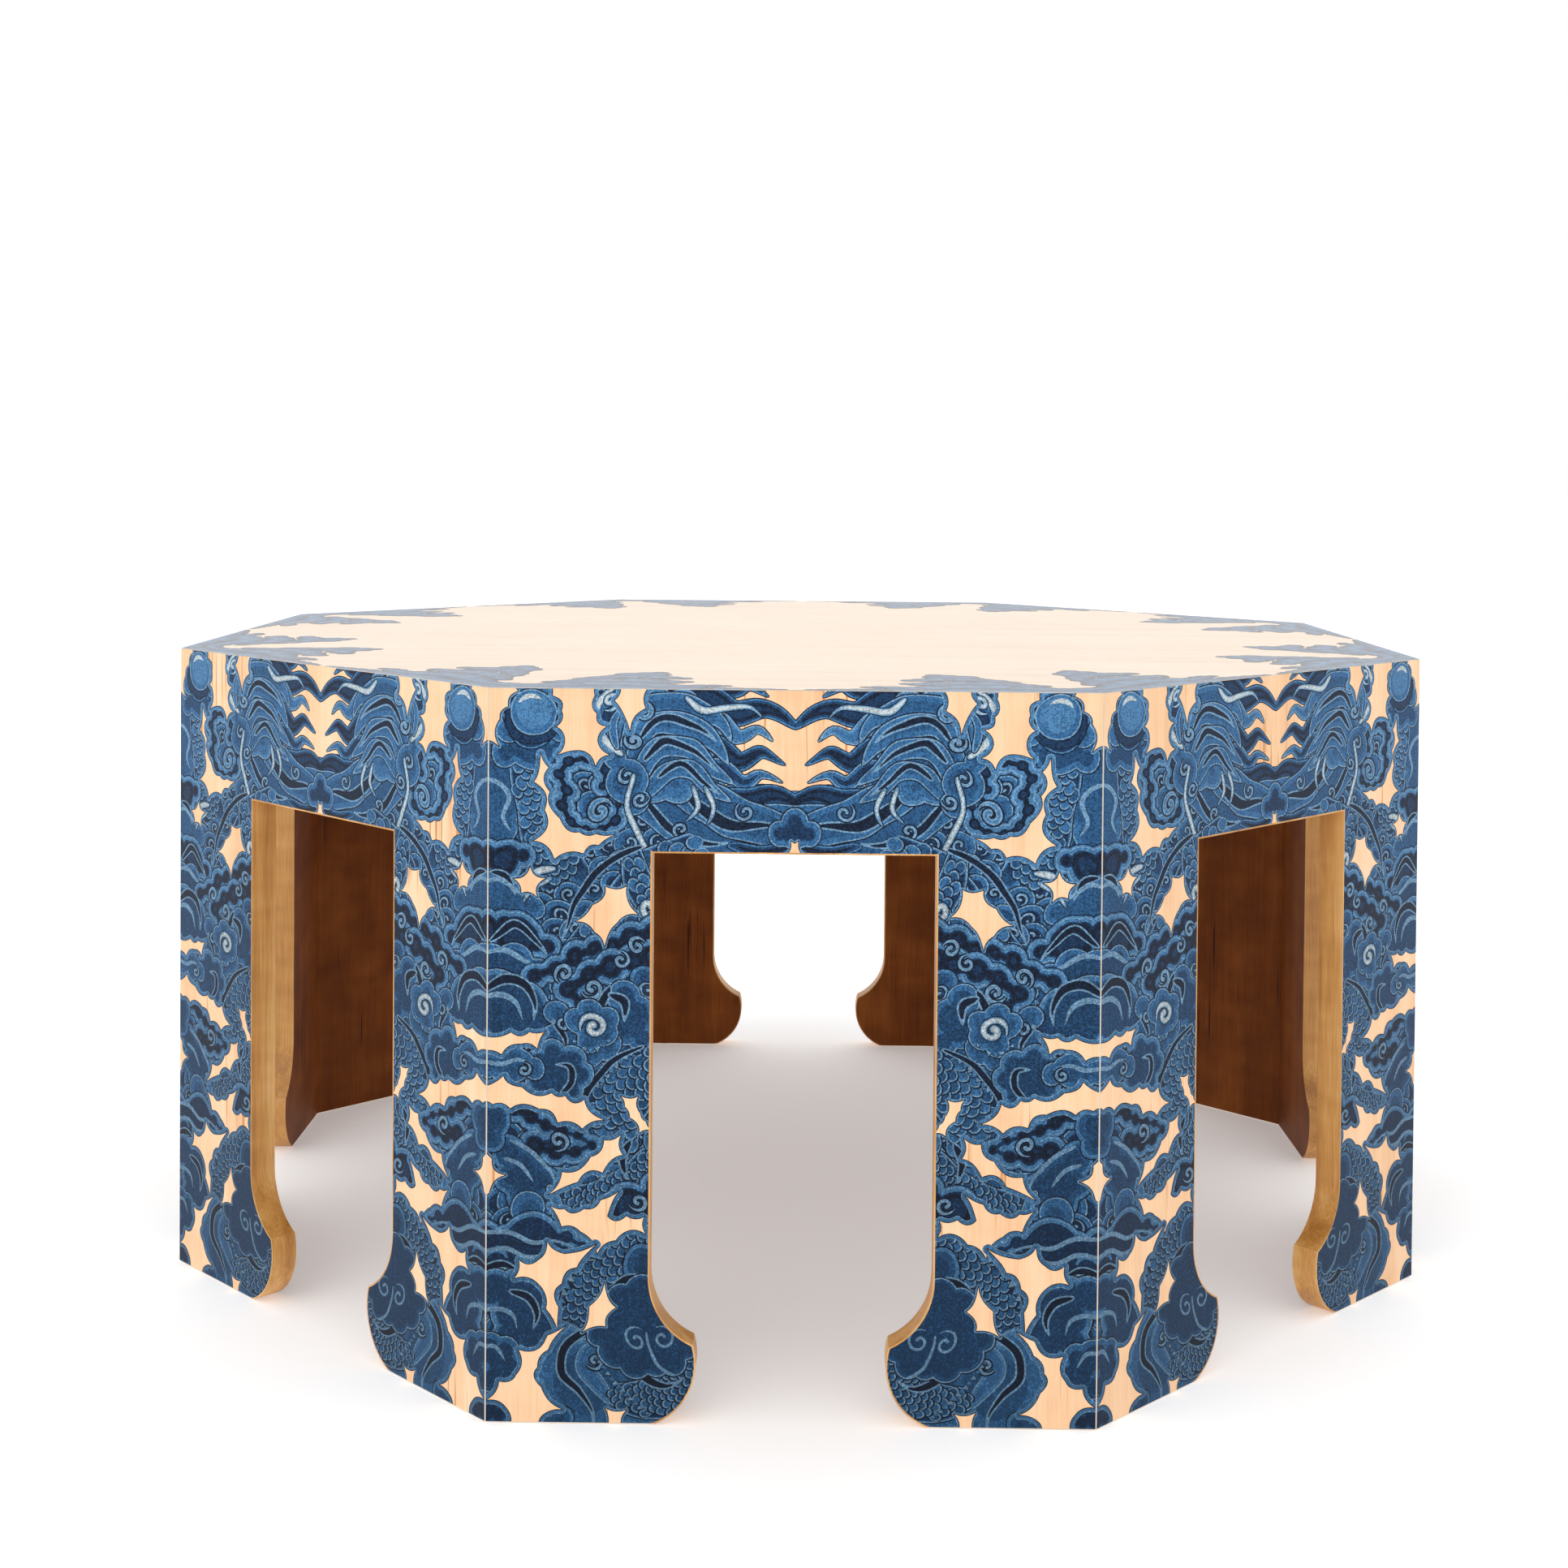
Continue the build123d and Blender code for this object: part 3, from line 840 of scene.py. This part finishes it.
def flooded(triangles, origin, tone_left):
    """Triangles by tone. Those with no border of their own take the tone of a neighbour."""
    owner, tones, waiting = {}, [None] * len(triangles), []
    for n, t in enumerate(triangles):
        for i in range(3):
            owner[t[i - 1], t[i]] = n
            edge = (origin[t[i - 1]], origin[t[i]])
            if edge in tone_left and tones[n] is None:
                tones[n] = tone_left[edge] or "outside"
                waiting.append(n)
    while waiting:
        n = waiting.pop()
        t = triangles[n]
        for i in range(3):
            other = owner.get((t[i], t[i - 1]))
            border = (origin[t[i - 1]], origin[t[i]]) in tone_left
            if other is not None and tones[other] is None and not border:
                tones[other] = tones[n]
                waiting.append(other)
    by_tone = {}
    for t, tone in zip(triangles, tones):
        by_tone.setdefault(tone, []).append(t)
    return by_tone


# ---- printed faces
def mirrored(corners, by_tone, middle):
    """Tiles joined to their mirror image about x = middle."""
    count = len(corners)
    twin = [i if abs(x - middle) < TINY else count + i for i, (x, y) in enumerate(corners)]
    both = np.array(corners + [(2 * middle - x, y) for x, y in corners])
    joined = {}
    for tone, triangles in by_tone.items():
        joined[tone] = triangles + [(twin[c], twin[b], twin[a]) for a, b, c in triangles]
    return both, joined


def film(name, triangles, outer, inner):
    """Thin closed solid over some triangles, between an outer and an inner position of each corner."""
    triangles = np.array(triangles)
    rims = {(a, b) for t in triangles.tolist() for a, b in zip(t, t[1:] + t[:1])}
    used, flat = np.unique(triangles, return_inverse=True)
    number = {v: i for i, v in enumerate(used.tolist())}
    flat = flat.reshape(-1, 3)
    count = len(used)
    faces = flat.tolist() + (flat[:, ::-1] + count).tolist()
    for a, b in sorted(rims):
        if (b, a) not in rims:
            a, b = number[a], number[b]
            faces.append([b, a, a + count, b + count])
    return mesh_object(name, np.vstack([outer[used], inner[used]]), faces)


def placed(data):
    """New object in the scene with the name of its data: a mesh, a light or a camera."""
    item = bpy.data.objects.new(data.name, data)
    bpy.context.scene.collection.objects.link(item)
    return item


def mesh_object(name, points, faces):
    """New object with a mesh of its own."""
    mesh = bpy.data.meshes.new(name)
    mesh.from_pydata(np.asarray(points).tolist(), [], faces)
    mesh.update()
    return placed(mesh)


def finished(piece, slot, *materials):
    """A piece with its materials and its place on the table's only body. slot is not used."""
    for material in materials:
        piece.data.materials.append(material)
    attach(piece, "root")
    return piece


def turned(points, index):
    """Points of the front side turned round to side number index."""
    return points @ np.array(Matrix.Rotation(index * SIDE_TURN, 3, "Z")).T


def on_side(flat, depth):
    """Drawn points laid on the front side, at a depth below its show face."""
    x = flat[:, 0] * MM - SIDE_LENGTH / 2
    y = np.full(len(flat), depth - APOTHEM)
    return np.stack([x, y, flat[:, 1] * MM], 1)


def on_top(flat, depth):
    """Drawn points laid on the top, in from its front edge, at a depth below its show face."""
    x = flat[:, 0] * MM - SIDE_LENGTH / 2
    y = flat[:, 1] * MM - APOTHEM
    return np.stack([x, y, np.full(len(flat), HEIGHT - depth)], 1)


def show_face_outline(node):
    """Outline of the front veneer's show face as (x, height) in millimetres, counter-clockwise."""
    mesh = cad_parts[node].data
    at_front = {v.index for v in mesh.vertices if v.co.y < TINY - APOTHEM}
    edges = set()
    for face in mesh.polygons:
        corners = list(face.vertices)
        if at_front.issuperset(corners):
            keys = [tuple(round(c, 6) for c in mesh.vertices[v].co) for v in corners]
            edges.update(zip(keys, keys[1:] + keys[:1]))
    following = {a: b for a, b in edges if (b, a) not in edges}
    start = min(following)
    loop = [start]
    while following[loop[-1]] != start:
        loop.append(following[loop[-1]])
    places = [((x + SIDE_LENGTH / 2) / MM, z / MM) for x, _, z in loop]
    return counter_clockwise(places)


def left_half(loop, middle):
    """The part of a closed outline with x up to the middle."""
    half = []
    for (x0, y0), (x1, y1) in zip(loop, loop[1:] + loop[:1]):
        if x0 < middle:
            half.append((x0, y0))
        if (x0 < middle) != (x1 < middle):
            share = (middle - x0) / (x1 - x0)
            half.append((middle, y0 + share * (y1 - y0)))
    return half


def side_sheet(index, loop, *materials):
    """Bare maple sheet of one side, mitred at its corners and top, with its front edges eased."""
    flat = np.array(loop)
    rings = []
    for depth, ease in SHEET_RINGS:
        reach = ((APOTHEM - depth) * math.tan(SIDE_TURN / 2) - ease) / MM
        ring = flat.copy()
        ring[:, 0] = np.clip(ring[:, 0], HALF_SIDE - reach, HALF_SIDE + reach)
        ring[:, 1] = np.minimum(ring[:, 1], (HEIGHT - depth - ease) / MM)
        rings.append(turned(on_side(ring, depth), index))
    name = SIDES[index]
    piece = ringed_sheet(f"maple_sheet_{name}", rings)
    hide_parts(f"face_veneer_{name}")
    return finished(piece, "printed_maple", *materials)


def top_sheet(*materials):
    """Bare maple sheet of the top, with its edges eased."""
    rings = []
    for depth, ease in SHEET_RINGS:
        apothem = APOTHEM - depth - ease
        corner = np.array([[apothem * math.tan(SIDE_TURN / 2), -apothem, HEIGHT - depth]])
        rings.append(np.vstack([turned(corner, index) for index in range(len(SIDES))]))
    piece = ringed_sheet("maple_sheet_top", rings)
    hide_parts("top_face_veneer")
    return finished(piece, "printed_maple", *materials)


def ringed_sheet(name, rings):
    """Closed sheet through rings of corners, from the show face to the glued face.

    The faces next to the show face are the eased edges, which take the sheet's second material.
    """
    count = len(rings[0])
    faces = [list(range(count)), list(range(len(rings) * count - 1, (len(rings) - 1) * count - 1, -1))]
    for ring in range(len(rings) - 1):
        for i in range(count):
            a, b = ring * count + i, ring * count + (i + 1) % count
            faces.append([b, a, a + count, b + count])
    sheet = mesh_object(name, np.vstack(rings), faces)
    for face in sheet.data.polygons[2 : 2 + count]:
        face.material_index = 1
    return sheet


def print_sides(inks, loop):
    """Ink films on all eight sides, one piece to a tone."""
    half = [(max(x, BARE_MARGIN), min(y, HEIGHT / MM - BARE_MARGIN)) for x, y in left_half(loop, HALF_SIDE)]
    corners, by_tone = tiles(wavy(side_art()), half)
    corners, by_tone = mirrored(corners, by_tone, HALF_SIDE)
    outer, inner = on_side(corners, 0), on_side(corners, INK)
    for tone, ink in inks.items():
        for index, name in enumerate(SIDES):
            places = turned(outer, index), turned(inner, index)
            finished(film(f"ink_{tone}_{name}", by_tone[tone], *places), "printed_maple", ink)


def print_top(inks):
    """Ink films on the top, one piece to a tone: half of one side's border, mirrored and repeated."""
    wedge = [(0, 0), (HALF_SIDE, 0), (HALF_SIDE, HALF_SIDE / math.tan(SIDE_TURN / 2))]
    slope = wedge[2][1] / HALF_SIDE
    half = [(BARE_MARGIN / slope, BARE_MARGIN), (HALF_SIDE, BARE_MARGIN), wedge[2]]
    corners, by_tone = tiles(wavy(top_art()), half)
    corners, by_tone = mirrored(corners, by_tone, HALF_SIDE)
    outer = np.vstack([turned(on_top(corners, 0), index) for index in range(len(SIDES))])
    _, first, weld = np.unique(np.round(outer / MM, 3), axis=0, return_index=True, return_inverse=True)
    weld = first[weld.reshape(-1)]
    inner = outer - (0, 0, INK)
    for tone, ink in inks.items():
        if tone not in by_tone:
            continue
        once = np.array(by_tone[tone])
        all_round = np.vstack([once + index * len(corners) for index in range(len(SIDES))])
        finished(film(f"ink_{tone}_top", weld[all_round], outer, inner), "printed_maple", ink)


# ---- materials
def linear(shade):
    """An sRGB shade of 0 to 255 as linear light."""
    channels = [c / 255 for c in shade]
    return tuple(c / 12.92 if c < 0.04 else ((c + 0.055) / 1.055) ** 2.4 for c in channels)


class Shading:
    """A material being put together round one Principled shader."""

    def __init__(self, name):
        """Start a material, with the object's own coordinates for its textures."""
        self.material = bpy.data.materials.new(name)
        self.material.use_nodes = True
        self.tree = self.material.node_tree
        self.shader = self.tree.nodes["Principled BSDF"]
        self.where = self.add("ShaderNodeTexCoord").outputs["Object"]

    def add(self, kind, values=None, **settings):
        """New node with its settings and its input values or links."""
        node = self.tree.nodes.new(kind)
        for name, value in settings.items():
            setattr(node, name, value)
        return self.put(node, values or {})

    def put(self, node, values):
        """A node with its inputs set, or linked to other nodes' outputs."""
        for name, value in values.items():
            if isinstance(value, bpy.types.NodeSocket):
                self.tree.links.new(value, node.inputs[name])
            else:
                node.inputs[name].default_value = value
        return node

    def noise(self, scale, detail, stretch=(1, 1, 1), roughness=0.5, distortion=0):
        """Noise of 0 to 1, scale features to a metre, drawn out where stretch is below 1."""
        where = self.where
        if stretch != (1, 1, 1):
            where = self.add("ShaderNodeMapping", {"Vector": where, "Scale": stretch}).outputs["Vector"]
        values = {"Vector": where, "Scale": scale, "Detail": detail, "Roughness": roughness}
        values["Distortion"] = distortion
        return self.add("ShaderNodeTexNoise", values).outputs["Fac"]

    def ramp(self, factor, *stops):
        """Colour ramp through (position, linear colour) stops."""
        node = self.add("ShaderNodeValToRGB", {"Fac": factor})
        elements = node.color_ramp.elements
        while len(elements) < len(stops):
            elements.new(1)
        for element, (position, colour) in zip(elements, stops):
            element.position = position
            element.color = (*colour, 1)
        return node.outputs["Color"]

    def spread(self, factor, low, high, to_low=0, to_high=1):
        """A factor stretched from low..high to to_low..to_high, and held there."""
        values = {"Value": factor, "From Min": low, "From Max": high, "To Min": to_low, "To Max": to_high}
        return self.add("ShaderNodeMapRange", values).outputs["Result"]

    def mix(self, factor, first, second):
        """Colour that goes from the first to the second as the factor rises."""
        return self.add("ShaderNodeMix", {0: factor, 6: first, 7: second}, data_type="RGBA").outputs[2]

    def sum(self, *terms):
        """Sum of (factor, weight) terms."""
        total = 0
        for factor, weight in terms:
            values = {0: factor, 1: weight, 2: total}
            total = self.add("ShaderNodeMath", values, operation="MULTIPLY_ADD").outputs[0]
        return total

    def finish(self, colour, roughness, height, bump_depth, **sockets):
        """The material, with its colour, roughness, bump and any other sockets of its shader."""
        bump = self.add("ShaderNodeBump", {"Height": height, "Distance": bump_depth, "Strength": 1})
        self.put(self.shader, {"Base Color": colour, "Roughness": roughness, "Normal": bump.outputs[0]})
        self.put(self.shader, {name.replace("_", " "): value for name, value in sockets.items()})
        return self.material


def ink_material(name, shade, **gloss):
    """Blue ink that has sunk a little into the wood, with fine speckle, uneven strength, and painted shade
    that darkens it towards the floor.
    """
    s = Shading(name)
    speckle = s.noise(1250, 1, roughness=0.6)
    flecks = s.noise(620, 2, roughness=0.7)
    cloudy = s.noise(14, 3)
    fibres = s.noise(520, 2, stretch=(1, 1, 0.05))
    # Share of the height, for painted shade: the ink is painted darker towards the floor and lighter towards
    # the top
    rise = s.spread(s.add("ShaderNodeSeparateXYZ", {"Vector": s.where}).outputs["Z"], 0, HEIGHT)
    mixed = s.sum((speckle, 0.5), (flecks, 0.3), (fibres, 0.12), (cloudy, 0.08), (rise, INK_PAINTED_SHADE))
    paleness = max(shade) / 255
    lighter = tuple(min(c * INK_LIGHTER + INK_LIFT * (1 - paleness), 255) for c in shade)
    darker = tuple(c * (INK_DARKER + (INK_DARKER_PALE - INK_DARKER) * paleness) for c in shade)
    middle = 0.5 + INK_PAINTED_SHADE * INK_UNSHADED_AT
    places = (middle - INK_RAMP, middle, middle + INK_RAMP)
    colour = s.ramp(mixed, *zip(places, map(linear, (darker, shade, lighter))))
    roughness = s.spread(s.sum((flecks, 0.6), (cloudy, 0.4)), 0.3, 0.7, 0.34, 0.46)
    return s.finish(colour, roughness, mixed, 0.02 * MM, **gloss)


def wood(name, shades, stretch, roughness, fleck=None, figuring=(9, 0.2), **sheen):
    """Wood with fibres, growth bands and a mottled figure.

    stretch is below 1 along the grain, shades are dark, middle and light, fleck is the shade of
    a few dark marks, and figuring is the scale and share of the figure.
    """
    s = Shading(name)
    fibres = s.noise(900, 2, stretch, 0.6)
    bands = s.noise(55, 3, stretch, 0.55, 0.4)
    figure_scale, figure_share = figuring
    figure = s.noise(figure_scale, 2)
    across = tuple(1 if c < 1 else 0.35 for c in stretch)
    ripple = s.noise(70, 1, across)
    mixed = s.sum((fibres, 0.22), (bands, 0.66 - figure_share), (figure, figure_share), (ripple, 0.12))
    colour = s.ramp(mixed, *zip((0.36, 0.5, 0.64), map(linear, shades)))
    if fleck:
        marks = s.noise(330, 1, tuple(0.03 if c < 1 else 1 for c in stretch))
        patches = s.noise(11, 0)
        shown = s.spread(s.sum((marks, 0.7), (patches, 0.3)), 0.64, 0.7)
        colour = s.mix(shown, colour, (*linear(fleck), 1))
    gloss = s.spread(s.sum((fibres, 0.5), (bands, 0.5)), 0.3, 0.7, roughness - 0.05, roughness + 0.06)
    return s.finish(colour, gloss, s.sum((fibres, 0.7), (bands, 0.3)), 0.03 * MM, **sheen)


def plywood():
    """Birch plywood: thin plies on the cut edges, bare and a little dusty."""
    s = Shading("birch_plywood")
    fibres = s.noise(700, 3, (1, 1, 0.1))
    layers = s.noise(420, 1, (1, 1, 0.02))
    blotches = s.noise(18, 3)
    mixed = s.sum((fibres, 0.35), (layers, 0.45), (blotches, 0.2))
    shades = ((168, 128, 84), (206, 172, 126), (226, 198, 156))
    colour = s.ramp(mixed, *zip((0.35, 0.5, 0.65), map(linear, shades)))
    return s.finish(colour, s.spread(fibres, 0.3, 0.7, 0.62, 0.8), mixed, 0.06 * MM)


def nylon():
    """Matt moulded nylon, scuffed where it slides."""
    s = Shading("matt_nylon")
    grain = s.noise(1500, 2)
    scuffs = s.noise(260, 3, (0.2, 1, 1))
    mixed = s.sum((grain, 0.4), (scuffs, 0.6))
    colour = s.ramp(mixed, (0.38, linear((176, 172, 160))), (0.62, linear((222, 219, 208))))
    return s.finish(colour, s.spread(scuffs, 0.3, 0.7, 0.45, 0.65), mixed, 0.04 * MM)


def floor_material():
    """Pale floor with a faint grain, lit a little from within so that it stays white."""
    s = Shading("pale_floor")
    grain = s.noise(220, 3)
    drift = s.noise(1.5, 2)
    mixed = s.sum((grain, 0.5), (drift, 0.5))
    colour = s.ramp(mixed, (0.3, (0.9, 0.9, 0.9)), (0.7, (0.94, 0.94, 0.94)))
    sockets = {"Specular_IOR_Level": 0.2, "Emission_Color": (1, 1, 1, 1), "Emission_Strength": FLOOR_GLOW}
    return s.finish(colour, s.spread(grain, 0.3, 0.7, 0.75, 0.9), grain, 0.02 * MM, **sockets)


# ---- the table
# Grain directions, sheens, a strong figure, and wood shades from dark to light
UPRIGHT, CROSSWISE = (1, 1, 0.03), (0.03, 1, 1)
LOW_SHEEN = {"Specular_IOR_Level": 0.12}
LACQUER = {"Coat_Weight": 0.38, "Coat_Roughness": 0.12}
MOTTLED = (24, 0.38)
MAPLES = ((229, 180, 137), (241, 198, 157), (247, 211, 176))
# Maple of the top: a paler copy of the sides' maple, as painted light for the stronger light on the top
TOP_LIT_MAPLES = ((243, 208, 172), (249, 220, 187), (252, 229, 200))
PALE_EDGE_MAPLES = ((196, 186, 172), (214, 205, 192), (228, 220, 208))
EDGE_MAPLES = ((160, 104, 44), (204, 147, 76), (232, 184, 118))
MAPLE_FLECK = (201, 143, 92)
BROWNS = ((102, 52, 15), (125, 67, 21), (148, 85, 32))
BROWN_FLECK = (62, 28, 12)

side_inks = {tone: ink_material(f"ink_{tone}", shade, **LOW_SHEEN) for tone, shade in TONES.items()}
top_inks = {tone: ink_material(f"ink_{tone}_lacquered", shade, **LACQUER) for tone, shade in TONES.items()}
bare_side = wood("bare_maple_upright", MAPLES, UPRIGHT, 0.42, MAPLE_FLECK, **LOW_SHEEN)
# The top's maple is paler than the sides': painted light
bare_top = wood("bare_maple_crosswise", TOP_LIT_MAPLES, CROSSWISE, 0.34, **LACQUER)
# Pale grey maple for the eased edges of the sheets
pale_eased_edge = wood("pale_eased_edge", PALE_EDGE_MAPLES, UPRIGHT, 0.5, **LOW_SHEEN)
edging = wood("edging_maple", EDGE_MAPLES, UPRIGHT, 0.42)
stained = wood("stained_maple", BROWNS, UPRIGHT, 0.5, BROWN_FLECK, MOTTLED, **LOW_SHEEN)
stained_top = wood("stained_maple_crosswise", BROWNS, CROSSWISE, 0.5, None, MOTTLED, **LOW_SHEEN)
birch = plywood()

outline = show_face_outline("face_veneer_front")
for number in range(len(SIDES)):
    side_sheet(number, outline, bare_side, pale_eased_edge)
top_sheet(bare_top, pale_eased_edge)
print_sides(side_inks, outline)
print_top(top_inks)

CAD_FINISHES = {
    "inner_veneer": stained,
    "top_under_veneer": stained_top,
    "edge_band": edging,
    "glue_blocks": stained,
    "side_core": birch,
    "top_core": birch,
    "corner_spline": birch,
    "top_spline": birch,
    "floor_glides": nylon(),
}
for node, cad_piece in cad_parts.items():
    for start, material in CAD_FINISHES.items():
        if node.startswith(start):
            cad_piece.data.materials.clear()
            cad_piece.data.materials.append(material)


# ---- stage, light and camera
def make_floor():
    """Pale floor far larger than the view."""
    corners = [(FLOOR_REACH * x, FLOOR_REACH * y, 0) for x, y in ((-1, -1), (1, -1), (1, 1), (-1, 1))]
    floor = mesh_object("floor", corners, [[0, 1, 2, 3]])
    floor.data.materials.append(floor_material())


def light_studio():
    """White surroundings and one broad soft light from the front left."""
    world = bpy.data.worlds.new("studio")
    world.use_nodes = True
    background = world.node_tree.nodes["Background"]
    background.inputs["Color"].default_value = (1, 1, 1, 1)
    background.inputs["Strength"].default_value = WORLD_STRENGTH
    bpy.context.scene.world = world
    key = bpy.data.lights.new("key_light", "SUN")
    key.energy = KEY_STRENGTH
    key.angle = KEY_SPREAD
    placed(key).rotation_euler = (KEY_LEAN, 0, KEY_TURN)
    bpy.context.scene.view_settings.view_transform = "Standard"


def make_camera():
    """Camera in front of the table and a little above its top, as in the photograph."""
    data = bpy.data.cameras.new("camera")
    data.sensor_width = SENSOR
    data.lens = LENS
    data.shift_y = CAMERA_SHIFT_Y
    turn = Matrix.Rotation(math.radians(90), 4, "X")
    for angle, axis in ((CAMERA_ROLL, "Y"), (CAMERA_PITCH, "X"), (CAMERA_YAW, "Z")):
        turn = Matrix.Rotation(angle, 4, axis) @ turn
    camera = placed(data)
    camera.matrix_world = Matrix.Translation(CAMERA_PLACE) @ turn
    bpy.context.scene.camera = camera


make_floor()
light_studio()
make_camera()
